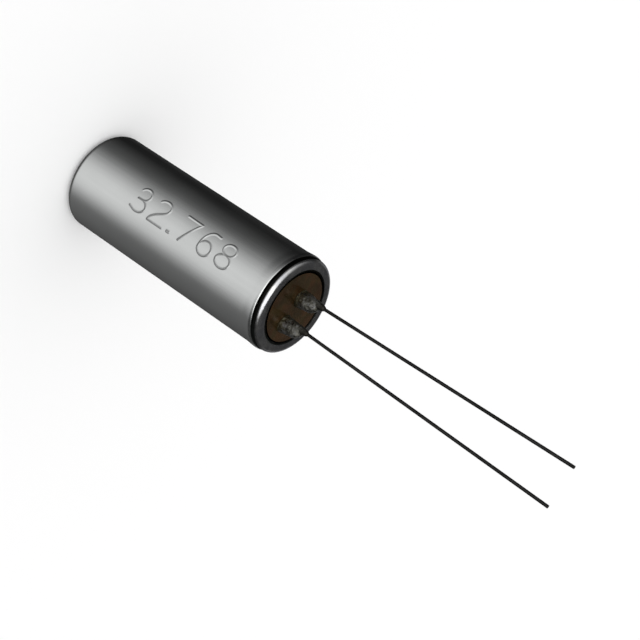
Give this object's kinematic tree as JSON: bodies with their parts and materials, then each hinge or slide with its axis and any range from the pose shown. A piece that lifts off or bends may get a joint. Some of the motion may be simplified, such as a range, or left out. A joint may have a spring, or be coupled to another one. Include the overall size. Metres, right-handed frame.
{
  "type": "crystal oscillator",
  "caption": "Tuning-fork quartz crystal sealed in a slim cylindrical metal can, with a glass-sealed header and a pair of long wire leads.",
  "frame": {"origin": "centre of the can's flat closed end", "axes": "+Z along the can towards the leads; the leads lie side by side along X"},
  "size_m": [0.0032, 0.0032, 0.018],
  "materials": {
    "can_metal": "satin nickel plate",
    "header_metal": "bright plate",
    "seal_glass": "glossy brown sealing glass",
    "lead_wire": "dark drawn wire",
    "fillet_solder": "dull grey solder",
    "fork_quartz": "clear quartz with gold electrodes",
    "inner_solder": "bright solder"
  },
  "bodies": {
    "root": {"can": "can_metal", "header_ring": "header_metal", "glass_seal": "seal_glass", "lead_a": "lead_wire", "lead_b": "lead_wire", "lead_fillet_a": "fillet_solder", "lead_fillet_b": "fillet_solder", "quartz_fork": "fork_quartz", "fork_joint_a": "inner_solder", "fork_joint_b": "inner_solder"}
  },
  "joints": []
}
